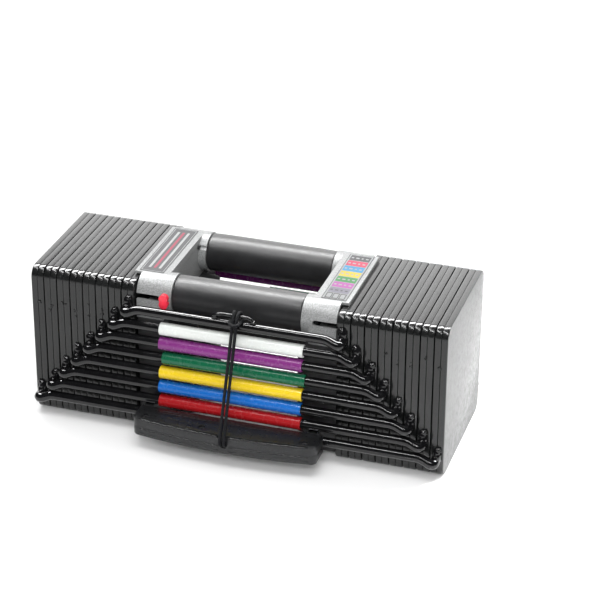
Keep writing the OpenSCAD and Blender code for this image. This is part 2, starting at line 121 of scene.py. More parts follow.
# ---------------------------------------------------------------- camera
LENS = 130.7
SENSOR_WIDTH = 36
CAMERA_AT = (0.5938, -1.7391, 1.0772)   # from the middle of the block, on the floor
AZIMUTH, ELEVATION, ROLL = 17.61, 27.54, 0.43
FAR_CLIP = 30


def make_camera():
    data = bpy.data.cameras.new("camera")
    data.lens = LENS
    data.sensor_width = SENSOR_WIDTH
    data.clip_end = FAR_CLIP
    camera = bpy.data.objects.new("camera", data)
    bpy.context.scene.collection.objects.link(camera)
    turn = Matrix.Rotation(math.radians(AZIMUTH), 4, "Z")
    tilt = Matrix.Rotation(math.radians(90 - ELEVATION), 4, "X")
    roll = Matrix.Rotation(math.radians(ROLL), 4, "Z")
    place = Vector(CAMERA_AT) + Vector((0, BLOCK_Y, 0))
    camera.matrix_world = Matrix.Translation(place) @ turn @ tilt @ roll
    bpy.context.scene.camera = camera


# ---------------------------------------------------------------- mesh helpers
MERGE_DISTANCE = 0.002 * MM     # CAD vertices closer than this are one
FLAT_ANGLE = 0.6                # degrees: faces that meet flatter than this are merged
SHARP_ANGLE = 32                # degrees: edges sharper than this are rounded or shaded hard
SEAM_REACH = 0.3 * MM           # an edge this near to a seam belongs to it
SEAM_BEVEL = 0.65               # and is rounded this much of the full width
LUMP_SCALE = 700                # lumps of a weld, as noise cells per metre
LUMP_HEIGHT = 0.25 * MM
WELD_SHADE_ANGLE = 80           # degrees


def new_object(name, mesh, materials):
    obj = bpy.data.objects.new(name, mesh)
    bpy.context.scene.collection.objects.link(obj)
    # Clearing also sets the faces back to the first material, so it is only done where it must be
    if len(mesh.materials):
        mesh.materials.clear()
    for m in materials:
        mesh.materials.append(m)
    return obj


def object_from_bmesh(name, bm, materials):
    mesh = bpy.data.meshes.new(name)
    bm.to_mesh(mesh)
    bm.free()
    return new_object(name, mesh, materials)


def mesh_object(name, verts, faces, materials, smooth=True):
    mesh = bpy.data.meshes.new(name)
    mesh.from_pydata([tuple(v) for v in verts], [], faces)
    mesh.validate()
    mesh.update()
    mesh.polygons.foreach_set("use_smooth", [smooth] * len(mesh.polygons))
    return new_object(name, mesh, materials)


def joined(name, objects):
    """Joins the meshes of several objects into one."""
    bm = bmesh.new()
    materials = []
    for o in objects:
        for m in o.data.materials:
            if m not in materials:
                materials.append(m)
    for o in objects:
        start = len(bm.faces)
        bm.from_mesh(o.data)
        bm.faces.ensure_lookup_table()
        index = [materials.index(m) for m in o.data.materials]
        for f in bm.faces[start:]:
            f.material_index = index[f.material_index]
        bpy.data.objects.remove(o)
    return object_from_bmesh(name, bm, materials)


def stamped(source, transform):
    """A copy of a small weld, moved to its place."""
    copy = source.copy()
    copy.data = source.data.copy()
    bpy.context.scene.collection.objects.link(copy)
    copy.data.transform(transform)
    if transform.determinant() < 0:
        copy.data.flip_normals()
    return copy


def finish_piece(obj, body, slot, *nodes):
    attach(obj, body)
    if nodes:
        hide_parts(*nodes)


def spline(points, step):
    """Points of a smooth curve through a list of points, about a step apart."""
    p = [Vector(q) for q in points]
    out = []
    for i in range(len(p) - 1):
        a, b, c, d = p[max(i - 1, 0)], p[i], p[i + 1], p[min(i + 2, len(p) - 1)]
        parts = max(1, math.ceil((c - b).length / step))
        for k in range(parts):
            t = k / parts
            out.append(0.5 * (2 * b + (c - a) * t + (2 * a - 5 * b + 4 * c - d) * t * t
                              + (3 * b - a - 3 * c + d) * t ** 3))
    return out + [p[-1]]


def tube(name, points, radius, materials, sides):
    """Round tube along a list of points. Each vertex keeps its place along and round the tube."""
    p = [Vector(q) for q in points]
    count = len(p)
    radii = radius if isinstance(radius, list) else [radius] * count
    verts, along, around = [], [], []
    up = Vector((0.1, 0.2, 0.97))      # nearly upward, and in line with none of the tubes
    run = 0.0
    for i in range(count):
        t = (p[min(i + 1, count - 1)] - p[max(i - 1, 0)]).normalized()
        up = (up - up.dot(t) * t).normalized()
        side = t.cross(up)
        if i:
            run += (p[i] - p[i - 1]).length
        for k in range(sides):
            a = 2 * math.pi * k / sides
            verts.append(p[i] + radii[i] * (math.cos(a) * up + math.sin(a) * side))
            along.append(run)
            around.append(k / sides)
    faces = [(i * sides + k, i * sides + (k + 1) % sides,
              (i + 1) * sides + (k + 1) % sides, (i + 1) * sides + k)
             for i in range(count - 1) for k in range(sides)]
    faces.append(tuple(reversed(range(sides))))
    faces.append(tuple(range((count - 1) * sides, count * sides)))
    obj = mesh_object(name, verts, faces, materials)
    for key, values in (("along", along), ("around", around)):
        obj.data.attributes.new(key, "FLOAT", "POINT").data.foreach_set("value", values)
    return obj


def lathe(name, profile, origin, materials, sides):
    """Turns a profile of (x, radius) pairs round a line along X through origin."""
    verts = []
    for x, r in profile:
        for k in range(sides):
            a = 2 * math.pi * k / sides
            verts.append(Vector((x, r * math.cos(a), r * math.sin(a))) + origin)
    faces = [(i * sides + k, (i + 1) * sides + k,
              (i + 1) * sides + (k + 1) % sides, i * sides + (k + 1) % sides)
             for i in range(len(profile) - 1) for k in range(sides)]
    obj = mesh_object(name, verts, faces, materials)
    bm = bmesh.new()
    bm.from_mesh(obj.data)
    bmesh.ops.recalc_face_normals(bm, faces=bm.faces)
    bm.to_mesh(obj.data)
    bm.free()
    return obj


def arc(centre_x, centre_r, radius, start, stop, steps=8):
    """Points of a rounded edge on a profile, angles in degrees."""
    out = []
    for i in range(steps + 1):
        a = math.radians(start + (stop - start) * i / steps)
        out.append((centre_x + radius * math.cos(a), centre_r + radius * math.sin(a)))
    return out


def softened(name, node, width, materials, segments=3, angle=SHARP_ANGLE, seam=None):
    """A copy of a CAD piece with its hard edges rounded over, less so next to a seam at x."""
    bm = bmesh.new()
    bm.from_mesh(NODES[node].data)
    bmesh.ops.remove_doubles(bm, verts=bm.verts, dist=MERGE_DISTANCE)
    bmesh.ops.dissolve_limit(bm, angle_limit=math.radians(FLAT_ANGLE), verts=bm.verts,
                             edges=bm.edges)
    weight = bm.edges.layers.float.new("bevel_weight_edge")
    for e in bm.edges:
        if len(e.link_faces) == 2 and e.calc_face_angle(0) > math.radians(angle):
            x = (e.verts[0].co.x + e.verts[1].co.x) / 2
            e[weight] = SEAM_BEVEL if seam is not None and abs(x - seam) < SEAM_REACH else 1
    obj = object_from_bmesh(name, bm, materials)
    bevel = obj.modifiers.new("bevel", "BEVEL")
    bevel.width = width
    bevel.segments = segments
    bevel.limit_method = "WEIGHT"
    bevel.use_clamp_overlap = True
    bevel.miter_outer = "MITER_ARC"
    apply_modifiers(obj)
    smooth_by_angle(obj, SHARP_ANGLE)
    return obj


def apply_modifiers(obj):
    graph = bpy.context.evaluated_depsgraph_get()
    mesh = bpy.data.meshes.new_from_object(obj.evaluated_get(graph))
    obj.modifiers.clear()
    obj.data = mesh


def smooth_by_angle(obj, degrees):
    mesh = obj.data
    mesh.polygons.foreach_set("use_smooth", [True] * len(mesh.polygons))
    bm = bmesh.new()
    bm.from_mesh(mesh)
    limit = math.radians(degrees)
    for e in bm.edges:
        e.smooth = len(e.link_faces) == 2 and e.calc_face_angle(0) < limit
    bm.to_mesh(mesh)
    bm.free()


def blob(balls, voxel, name, materials):
    """Melts a list of (centre, radius) balls into one lumpy form."""
    bm = bmesh.new()
    for at, r in balls:
        made = bmesh.ops.create_icosphere(bm, subdivisions=3, radius=r)
        bmesh.ops.translate(bm, verts=made["verts"], vec=Vector(at))
    obj = object_from_bmesh(name, bm, materials)
    remesh = obj.modifiers.new("melt", "REMESH")
    remesh.mode = "VOXEL"
    remesh.voxel_size = voxel
    smooth = obj.modifiers.new("smooth", "SMOOTH")
    smooth.iterations = 3
    apply_modifiers(obj)
    for v in obj.data.vertices:
        lump = noise.noise(v.co * LUMP_SCALE) * LUMP_HEIGHT
        v.co += v.normal * lump
    smooth_by_angle(obj, WELD_SHADE_ANGLE)
    return obj


def box_mesh(low, high, bevel, material):
    """Small box with rounded edges."""
    bm = bmesh.new()
    made = bmesh.ops.create_cube(bm, size=1)
    low, high = Vector(low), Vector(high)
    for v in made["verts"]:
        v.co = Vector(low[i] + (v.co[i] + 0.5) * (high[i] - low[i]) for i in range(3))
    if bevel:
        bmesh.ops.bevel(bm, geom=list(bm.edges), offset=bevel, segments=2, affect="EDGES",
                        profile=0.5)
    return object_from_bmesh("part", bm, [material])


# ---------------------------------------------------------------- material helpers
class Shader:
    """Principled material with a few helpers for procedural detail."""

    def __init__(self, name, colour, roughness, **values):
        self.material = bpy.data.materials.new(name)
        self.material.use_nodes = True
        self.tree = self.material.node_tree
        self.base = self.tree.nodes["Principled BSDF"]
        self.colour = (*colour, 1)
        self.set("Base Color", self.colour)
        self.set("Roughness", roughness)
        for key, value in values.items():
            self.set(key, value)
        self.coordinates = self.node("ShaderNodeTexCoord").outputs["Object"]

    def set(self, key, value):
        self.base.inputs[key].default_value = value

    def node(self, kind, **values):
        n = self.tree.nodes.new(kind)
        for key, value in values.items():
            if hasattr(n, key):
                setattr(n, key, value)
            else:
                n.inputs[key].default_value = value
        return n

    def link(self, a, b):
        self.tree.links.new(a, b)

    def scaled(self, scale):
        m = self.node("ShaderNodeMapping", Scale=scale)
        self.link(self.coordinates, m.inputs["Vector"])
        return m.outputs["Vector"]

    def noise(self, scale, detail, stretch=(1, 1, 1)):
        n = self.node("ShaderNodeTexNoise", Scale=scale, Detail=detail, Roughness=0.5)
        self.link(self.scaled(stretch), n.inputs["Vector"])
        return n.outputs["Fac"]

    def ramp(self, source, low, high, start, stop):
        """Goes from the colour low to the colour high while the source goes from start to stop."""
        r = self.node("ShaderNodeValToRGB")
        for element, position, colour in zip(r.color_ramp.elements, (start, stop), (low, high)):
            element.position = position
            element.color = colour
        self.link(source, r.inputs["Fac"])
        return r.outputs["Color"]

    def vary_colour(self, source, low, high, start=0.35, stop=0.65):
        """Colour between low and high times the base colour."""
        tints = [tuple(min(1, c * k) for c in self.colour[:3]) + (1,) for k in (low, high)]
        self.link(self.ramp(source, *tints, start, stop), self.base.inputs["Base Color"])

    def vary_roughness(self, source, low, high, start=0.35, stop=0.65):
        greys = [(v, v, v, 1) for v in (low, high)]
        self.link(self.ramp(source, *greys, start, stop), self.base.inputs["Roughness"])

    def bumps(self, *layers):
        """Stacks (height source, distance in metres, strength) layers."""
        previous = None
        for source, distance, strength in layers:
            b = self.node("ShaderNodeBump", Strength=strength, Distance=distance)
            self.link(source, b.inputs["Height"])
            if previous:
                self.link(previous, b.inputs["Normal"])
            previous = b.outputs["Normal"]
        self.link(previous, self.base.inputs["Normal"])


def powder_coat(name, colour, roughness, streaks):
    """Glossy black powder coat with orange peel, and sawn streaks on the plates' edges."""
    s = Shader(name, colour, roughness, IOR=1.52)
    s.vary_colour(s.noise(60, 4), 0.8, 1.25)
    s.vary_roughness(s.noise(220, 4), roughness * 0.8, roughness * 1.25)
    layers = [(s.noise(1100, 2), 0.04 * MM, 0.35), (s.noise(90, 2), 0.2 * MM, 0.2)]
    if streaks:
        layers.append((s.noise(1, 3, (1500, 90, 90)), 0.09 * MM, 0.5))
    s.bumps(*layers)
    return s.material


def sleeve_plastic(name, colour):
    s = Shader(name, colour, 0.24, IOR=1.48)
    s.vary_colour(s.noise(45, 3, (0.3, 1, 1)), 0.93, 1.06)
    s.vary_roughness(s.noise(300, 3), 0.18, 0.30)
    s.bumps((s.noise(110, 2, (0.1, 1, 1)), 0.08 * MM, 0.1), (s.noise(700, 2), 0.004 * MM, 0.15))
    return s.material


def silver_paint():
    s = Shader("silver_paint", (0.26, 0.265, 0.265), 0.42, Metallic=0.2, IOR=1.5)
    s.vary_colour(s.noise(900, 2), 0.72, 1.22)
    s.vary_roughness(s.noise(900, 3), 0.36, 0.50)
    s.bumps((s.noise(1700, 2), 0.05 * MM, 0.5), (s.noise(120, 2), 0.15 * MM, 0.15))
    return s.material


def moulded(name, colour, roughness, grain, depth, strength=0.5):
    """Moulded plastic or rubber with a fine leather-like grain."""
    s = Shader(name, colour, roughness)
    s.vary_colour(s.noise(70, 4), 0.85, 1.2)
    s.vary_roughness(s.noise(400, 3), roughness * 0.85, roughness * 1.15)
    cells = s.node("ShaderNodeTexVoronoi", Scale=grain)
    s.link(s.coordinates, cells.inputs["Vector"])
    s.bumps((cells.outputs["Distance"], depth, strength), (s.noise(grain * 0.4, 2), depth, 0.3))
    return s.material


def steel(name, colour, roughness, stretch):
    """Bare metal, brushed along the axis on which stretch is least."""
    s = Shader(name, colour, roughness, Metallic=1.0)
    s.vary_colour(s.noise(30, 4), 0.88, 1.08)
    s.vary_roughness(s.noise(1, 3, stretch), roughness * 0.8, roughness * 1.3)
    s.bumps((s.noise(1, 2, stretch), 0.02 * MM, 0.4))
    return s.material


def braid():
    """Two crossed sets of strands wound round the cord, with painted shade in their hollows and
    painted sheen on their crests.
    """
    waves_per_metre = 420
    strands = 4
    s = Shader("cord_braid", (0.007, 0.0075, 0.009), 0.75, IOR=1.3)
    waves = []
    for direction in (1, -1):
        along = s.node("ShaderNodeAttribute", attribute_name="along").outputs["Fac"]
        around = s.node("ShaderNodeAttribute", attribute_name="around").outputs["Fac"]
        scaled = s.node("ShaderNodeMath", operation="MULTIPLY")
        scaled.inputs[1].default_value = 2 * math.pi * waves_per_metre
        turned = s.node("ShaderNodeMath", operation="MULTIPLY_ADD")
        turned.inputs[1].default_value = 2 * math.pi * strands * direction
        wave = s.node("ShaderNodeMath", operation="SINE")
        s.link(along, scaled.inputs[0])
        s.link(around, turned.inputs[0])
        s.link(scaled.outputs[0], turned.inputs[2])
        s.link(turned.outputs[0], wave.inputs[0])
        waves.append(wave.outputs[0])
    high = s.node("ShaderNodeMath", operation="MAXIMUM")
    s.link(waves[0], high.inputs[0])
    s.link(waves[1], high.inputs[1])
    # Painted shade: the base colour darkens to 0.45 in the hollows between strands. Painted sheen:
    # it lightens to 1.9 on their crests.
    s.vary_colour(high.outputs[0], 0.45, 1.9, 0.1, 1.0)
    s.bumps((high.outputs[0], 0.35 * MM, 0.8), (s.noise(3000, 2), 0.05 * MM, 0.5))
    return s.material


def printed(name, colour):
    s = Shader(name, colour, 0.6, IOR=1.35)
    s.vary_colour(s.noise(900, 3), 0.93, 1.07)
    s.bumps((s.noise(500, 2), 0.03 * MM, 0.3))
    return s.material


# ---------------------------------------------------------------- weights
PLATE_EDGE = 0.9 * MM           # rounding of the plates' edges
TACKS_PER_EDGE = 2
TACK_HEIGHTS = (108, 126)       # mm above the floor
SWELL, SWELL_AT, SWELL_REACH = 0.5 * MM, 11 * MM, 4 * MM     # of a rail where it bends


def weld_bead(coat):
    """Lumpy weld that climbs the plate's edge above a rail's end, with a small hooked top."""
    parts = [((0, 0.6, -2.5), 3.4), ((0, 1.4, 0), 4.2), ((0.3, 1.3, 3.5), 3.3),
             ((-0.4, 1.1, 6.2), 2.9), ((0.3, 0.7, 8.6), 2.4), ((1.8, 0.8, 9.6), 1.5),
             ((2.6, 1.1, 8.0), 1.2), ((-2.0, 0.8, 7.4), 1.4), ((0, 3.6, 1.2), 3.3)]
    balls = [((x * MM, y * MM, z * MM), r * MM) for (x, y, z), r in parts]
    return blob(balls, 0.55 * MM, "weld", [coat])


def tack_weld(coat):
    balls = [((0, 0, 0), 1.1 * MM), ((1.1 * MM, 0, 0.8 * MM), 0.8 * MM),
             ((-0.9 * MM, 0, 1.4 * MM), 0.7 * MM)]
    return blob(balls, 0.3 * MM, "tack", [coat])


def build_plates(coat, tack):
    """Bevelled laminations with a few tack welds on their front and rear edges."""
    for n in range(1, WEIGHTS + 1):
        for side in SIDES:
            node = f"weight_{n}_{side}_plates"
            x = centre(node).x
            parts = [softened(f"plates_{n}_{side}", node, PLATE_EDGE, [coat], seam=x)]
            for end in (-1, 1):
                for _ in range(TACKS_PER_EDGE):
                    place = (x + random.uniform(-2, 2) * MM, BLOCK_Y + end * PLATE_FACE,
                             random.uniform(*TACK_HEIGHTS) * MM)
                    turn = Matrix.Rotation(random.uniform(0, 6.28), 4, "Y")
                    grow = Matrix.Scale(random.uniform(0.6, 1.2), 4)
                    parts.append(stamped(tack, Matrix.Translation(place) @ turn @ grow))
            piece = joined(f"weight_{n}_{side}_laminations", parts)
            finish_piece(piece, weight_body(n), "plate_coat", node)


def rail_half(n):
    """Right half of a rail, from the plate to the straight part: (x, distance out, z)."""
    x, z = weight_x(n), rail_z(n)
    low = z - HOOK_DROP
    shape = [(x, PLATE_FACE - 0.2 * MM, low), (x, PLATE_FACE + 4 * MM, low),
             (x - 0.2 * MM, RAIL_Y - 1.5 * MM, low), (x - 1.4 * MM, RAIL_Y + 1.0 * MM, low),
             (x - 4.5 * MM, RAIL_Y + 1.2 * MM, low + 0.6 * MM),
             (x - 8.5 * MM, RAIL_Y + 0.8 * MM, z - 1.8 * MM),
             (x - 12.5 * MM, RAIL_Y + 0.3 * MM, z - 0.5 * MM), (x - 17 * MM, RAIL_Y, z)]
    return spline(shape, 1.6 * MM)


def rail_radius(along):
    """The rod swells a little where it is bent, SWELL_AT from its end."""
    return RAIL_RADIUS + SWELL * math.exp(-((along - SWELL_AT) / SWELL_REACH) ** 2)


def build_rail(n, end, coat):
    """One bent rod, on the front (end -1) or the rear (end 1)."""
    half = [Vector((p.x, BLOCK_Y + end * p.y, p.z)) for p in rail_half(n)]
    run, radii = 0.0, []
    for i, p in enumerate(half):
        if i:
            run += (p - half[i - 1]).length
        radii.append(rail_radius(run))
    mirrored = [Vector((-p.x, p.y, p.z)) for p in half]
    return tube("rod", half + mirrored[::-1], radii + radii[::-1], [coat], 28)


def build_rails(coat, weld):
    for n in range(1, WEIGHTS + 1):
        parts = []
        for end in (-1, 1):
            parts.append(build_rail(n, end, coat))
            for sign in (-1, 1):
                place = (sign * weight_x(n), BLOCK_Y + end * PLATE_FACE, rail_z(n) - HOOK_DROP)
                flip = Matrix.Diagonal((sign * random.choice((-1, 1)), end, 1, 1))
                tilt = (Matrix.Rotation(random.uniform(-0.12, 0.12), 4, "Y")
                        @ Matrix.Scale(random.uniform(1.15, 1.3), 4))
                parts.append(stamped(weld, Matrix.Translation(place) @ flip @ tilt))
        piece = joined(f"weight_{n}_bent_rails", parts)
        finish_piece(piece, weight_body(n), "rail_coat", f"weight_{n}_rails")


def build_sleeves(materials):
    """Plastic sleeves with rounded lips, a tenth of a millimetre uneven along their length."""
    half = SLEEVE_LENGTH / 2
    r = SLEEVE_RADIUS
    bore = RAIL_RADIUS + 0.15 * MM
    lip = 0.7 * MM
    profile = [(-half, bore)] + arc(-half + lip, r - lip, lip, 180, 90, 5)
    profile += [(-half + 4 * MM, r - 0.05 * MM), (-20 * MM, r - 0.12 * MM),
                (25 * MM, r - 0.05 * MM), (half - 4 * MM, r - 0.08 * MM)]
    profile += arc(half - lip, r - lip, lip, 90, 0, 5) + [(half, bore)]
    for tint in TINTS:
        z = centre(f"sleeves_{tint}").z
        parts = []
        for end, shift in zip((-1, 1), SLEEVE_SHIFT[tint]):
            origin = Vector((shift * MM, BLOCK_Y + end * RAIL_Y, z))
            parts.append(lathe("sleeve", profile, origin, [materials[tint]], 48))
        piece = joined(f"{tint}_rail_sleeves", parts)
        finish_piece(piece, "stack", f"sleeve_{tint}", f"sleeves_{tint}")


# ---------------------------------------------------------------- handle core
def build_housings(paint, plastic):
    for side in SIDES:
        piece = softened(f"{side}_end_housing", f"{side}_housing", 1.3 * MM, [paint], 4)
        finish_piece(piece, "stack", "silver_paint", f"{side}_housing")
        piece = softened(f"{side}_slotted_tower", f"{side}_tower", 0.7 * MM, [plastic], 2)
        finish_piece(piece, "stack", "black_plastic", f"{side}_tower")


def build_pads(rubber):
    """Foam-rubber tubes with rounded ends and a slight crown along their length."""
    half = size("front_pad").x / 2
    edge = 2.0 * MM
    crown = 0.35 * MM
    steps = 24
    bore = size("front_tube").z / 2 + 0.1 * MM
    r = PAD_RADIUS - crown
    profile = [(-half, bore)] + arc(-half + edge, r - edge, edge, 180, 90)
    for k in range(1, steps):
        x = -half + edge + (2 * half - 2 * edge) * k / steps
        profile.append((x, r + crown * (1 - abs(x / half) ** 6)))
    profile += arc(half - edge, r - edge, edge, 90, 0) + [(half, bore)]
    for end, sign in (("front", -1), ("rear", 1)):
        origin = Vector((0, BLOCK_Y + sign * TUBE_Y, TUBE_Z))
        piece = lathe(f"{end}_forearm_pad", profile, origin, [rubber], 128)
        finish_piece(piece, "stack", "pad_rubber", f"{end}_pad")


def build_grip(rubber):
    """Swollen grip with a flange at each end and fine grooves between them."""
    half = size("grip_rubber").x / 2
    r = size("grip_rubber").z / 2
    bore = size("grip_bar").z / 2 + 0.1 * MM
    edge = 1.2 * MM
    inset = 4 * MM
    steps = 150
    profile = [(-half, bore)] + arc(-half + edge, r - edge, edge, 180, 90, 5)
    for k in range(steps + 1):
        x = (-half + inset) + (2 * half - 2 * inset) * k / steps
        reach = abs(x) / half
        body = r - 2 * MM + 1.1 * MM * (1 - min(1, reach * 2.6) ** 2)
        flare = 1.9 * MM * max(0, (abs(x) - half + 9 * MM) / (5 * MM)) ** 2
        groove = 0.35 * MM if (k % 6 in (0, 1) and reach < 0.84) else 0
        profile.append((x, min(r - 0.1 * MM, body + flare) - groove))
    profile += arc(half - edge, r - edge, edge, 90, 0, 5) + [(half, bore)]
    piece = lathe("hand_grip", profile, Vector((0, BLOCK_Y, GRIP_Z)), [rubber], 96)
    finish_piece(piece, "stack", "grip_rubber", "grip_rubber")


def build_knobs(red, spring_steel):
    """Pull knobs, and the springs round their plungers, which a pull squeezes."""
    wire = 0.25 * MM
    turns = 2
    steps = 48
    for end, sign in (("front", -1), ("rear", 1)):
        piece = softened(f"{end}_pull_knob", f"{end}_lock_knob", 2.3 * MM, [red], 6, 40)
        finish_piece(piece, f"{end}_lock", "knob_red", f"{end}_lock_knob")
        low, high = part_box(f"{end}_lock_spring")
        middle = (low + high) / 2
        radius = (high.z - low.z) / 2 - wire
        depth = high.y - low.y - 2 * wire
        coil = []
        for t in range(steps + 1):
            a = 2 * math.pi * turns * t / steps
            coil.append((middle.x + radius * math.cos(a), middle.y + depth * (t / steps - 0.5),
                         middle.z + radius * math.sin(a)))
        spring = tube(f"{end}_plunger_spring", coil, wire, [spring_steel], 8)
        finish_piece(spring, "stack", "spring_steel", f"{end}_lock_spring")
        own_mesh(spring)


# ---------------------------------------------------------------- labels
PANEL_THICKNESS = 0.28 * MM
PANEL_EDGE = 0.1 * MM
PRINT_THICKNESS = 0.12 * MM
PRINT_SINK = 0.03 * MM          # prints start this far below the surface that they lie on
PRINT_LAYER = 0.02 * MM         # and a print on another one lies this much higher


def printed_patch(x0, x1, y0, y1, z, material):
    return box_mesh((x0, y0, z), (x1, y1, z + PRINT_THICKNESS), 0, material)


def panel(low, high, material):
    """A label's panel, and the height at which its print starts."""
    top = low.z + PANEL_THICKNESS
    return box_mesh(low, (high.x, high.y, top), PANEL_EDGE, material), top - PRINT_SINK


def border(low, high, z, inset, width, material):
    x0, y0, x1, y1 = low.x + inset, low.y + inset, high.x - inset, high.y - inset
    return [printed_patch(x0, x1, y0, y0 + width, z, material),
            printed_patch(x0, x1, y1 - width, y1, z, material),
            printed_patch(x0, x0 + width, y0, y1, z, material),
            printed_patch(x1 - width, x1, y0, y1, z, material)]


def build_left_label(dark, light, accent):
    """Dark panel with a thin border and three plain stripes along it."""
    low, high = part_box("left_label")
    sheet, z = panel(low, high, dark)
    parts = [sheet] + border(low, high, z, 1.2 * MM, 0.5 * MM, light)
    middle = (low.x + high.x) / 2
    half_width, spacing, inset = 1.2 * MM, 5 * MM, 8 * MM
    for k, material in enumerate((light, accent, light)):
        x = middle + (k - 1) * spacing
        parts.append(printed_patch(x - half_width, x + half_width, low.y + inset,
                                   high.y - inset, z, material))
    finish_piece(joined("left_panel_label", parts), "stack", "label_dark", "left_label")


def build_right_label(white, grey, rows):
    """Chart with a grey header, coloured rows and grey cells, and no lettering."""
    low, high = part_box("right_label")
    sheet, lift = panel(low, high, grey)
    rim = 0.8 * MM
    parts = [sheet, printed_patch(low.x + rim, high.x - rim, low.y + rim, high.y - rim, lift,
                                  white)]
    lift += 2 * PRINT_LAYER
    x0, x1 = low.x + 2.2 * MM, high.x - 2.2 * MM
    row, gap = 10.6 * MM, 0.9 * MM
    mark_low, mark_high = 6.4 * MM, 4.2 * MM      # below the row's upper edge
    y = high.y - 2.4 * MM
    for k, colour in enumerate([grey] + rows):
        parts.append(printed_patch(x0, x1, y - row, y, lift, colour))
        mark_colour = white if k < len(rows) else grey
        for mark, width in ((1.2, 2.4), (5.6, 3.2), (11.0, 1.8), (15.2, 2.6)):
            parts.append(printed_patch(x0 + mark * MM, x0 + (mark + width) * MM, y - mark_low,
                                       y - mark_high, lift + PRINT_LAYER, mark_colour))
        y -= row + gap
    cells = 3
    cell_width = (x1 - x0) / cells
    while y - row > low.y + 1 * MM:
        for k in range(cells):
            start = x0 + k * cell_width
            for inset_x, inset_y, z, colour in ((0.3 * MM, 0, lift, grey),
                                                (1.2 * MM, 1.4 * MM, lift + PRINT_LAYER, white)):
                parts.append(printed_patch(start + inset_x, start + cell_width - inset_x,
                                           y - row + inset_y, y - inset_y, z, colour))
        y -= row + gap
    finish_piece(joined("right_chart_label", parts), "stack", "label_chart", "right_label")


# ---------------------------------------------------------------- selector pin
def build_pin_shells(plastic):
    for part in ("upper", "lower"):
        piece = softened(f"pin_{part}_half", f"pin_{part}_shell", 0.6 * MM, [plastic], 3)
        finish_piece(piece, "selector_pin", "pin_plastic", f"pin_{part}_shell")


def build_pin_ribs(plastic):
    """Low ribs along the handle's top: (start, stop, distance in front of its back) in mm."""
    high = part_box("pin_upper_shell")[1]
    half_width = 0.5 * MM
    ribs = []
    for x0, x1, back in ((-62, -27, 6), (-9, 68, 6), (-62, 68, 9.5)):
        y = high.y - back * MM
        ribs.append(box_mesh((x0 * MM, y - half_width, high.z - 0.3 * MM),
                             (x1 * MM, y + half_width, high.z + 0.35 * MM), 0.3 * MM, plastic))
    finish_piece(joined("pin_top_ribs", ribs), "selector_pin", "pin_plastic")


def build_pin_front(plastic, dark):
    """The parting line and two beads, which follow the bulging front on both sides of the cord."""
    low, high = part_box("pin_upper_shell")
    middle_x = (low.x + high.x) / 2
    half = (high.x - low.x) / 2
    bend = (half ** 2 + PIN_BULGE ** 2) / (2 * PIN_BULGE)
    steps = 24
    stretches = (("left", -half + 7 * MM, CORD_X - 8 * MM),
                 ("right", CORD_X + 2 * MM, half - 7 * MM))
    for name, z, r, material, slot in (
            ("parting_line", HANDLE_Z - 2 * MM, 0.5 * MM, dark, "black_plastic"),
            ("lower_bead", HANDLE_Z - 6.5 * MM, 0.6 * MM, plastic, "pin_plastic"),
            ("upper_bead", HANDLE_Z + 8.2 * MM, 1.1 * MM, dark, "black_plastic")):
        for side, start, stop in stretches:
            line = []
            for k in range(steps + 1):
                x = start + (stop - start) * k / steps
                y = low.y + bend - math.sqrt(bend ** 2 - x ** 2) + 0.1 * MM
                line.append((x + middle_x, y, z))
            finish_piece(tube(f"pin_{name}_{side}", line, r, [material], 10),
                         "selector_pin", slot)


def build_pin_grommet(dark):
    """Ring round the hole that the cord comes out of."""
    radius = 4.1 * MM
    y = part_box("pin_upper_shell")[0].y + 0.55 * MM
    steps = 32
    ring = []
    for k in range(steps + 1):
        a = 2 * math.pi * k / steps
        ring.append((CORD_X + radius * math.cos(a), y, HANDLE_Z + radius * math.sin(a)))
    finish_piece(tube("pin_cord_grommet", ring, 0.6 * MM, [dark], 12),
                 "selector_pin", "black_plastic")


# ---------------------------------------------------------------- tether
def build_cord(material):
    left = [(CORD_X - x * MM, BLOCK_Y + y * MM, z * MM) for x, y, z in HALF_ROUTE]
    right = [(CORD_X + x * MM, BLOCK_Y + y * MM, z * MM) for x, y, z in HALF_ROUTE[-2::-1]]
    path = spline(left + right, 1.2 * MM)
    cord = tube("elastic_tether", path, CORD_DIAMETER / 2, [material], 16)
    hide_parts("tether_cord")
    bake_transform(cord)


def build_staple(coat):
    """Wire arch over the top front rail, with a weld at each foot."""
    low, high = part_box("tether_staple")
    r = STAPLE_RADIUS
    y, top, foot = (low.y + high.y) / 2, high.z - r, low.z + r
    x0, x1 = low.x + r, high.x - r
    route = [(x0, y, foot), (x0 + 2.6 * MM, y, foot + 2.6 * MM), (x0 + 6 * MM, y, top - 0.4 * MM),
             (x0 + 9 * MM, y, top), (3 * MM, y, top), (x1 - 9 * MM, y, top),
             (x1 - 6 * MM, y, top - 0.4 * MM), (x1 - 2.6 * MM, y, foot + 2.6 * MM), (x1, y, foot)]
    wire = tube("wire", spline(route, 1.5 * MM), r, [coat], 20)
    beads = [blob([((x, y, foot - 0.2 * MM), 2.3 * MM), ((x + s * 2.2 * MM, y, foot), 1.9 * MM)],
                  0.5 * MM, "bead", [coat]) for x, s in ((x0, 1), (x1, -1))]
    finish_piece(joined("tether_staple_wire", [wire] + beads), "stack", "rail_coat",
                 "tether_staple")


# ---------------------------------------------------------------- stage and light
FLOOR_HALF = 12
FLOOR_Z = -0.2 * MM
WORLD_STRENGTH = 0.78


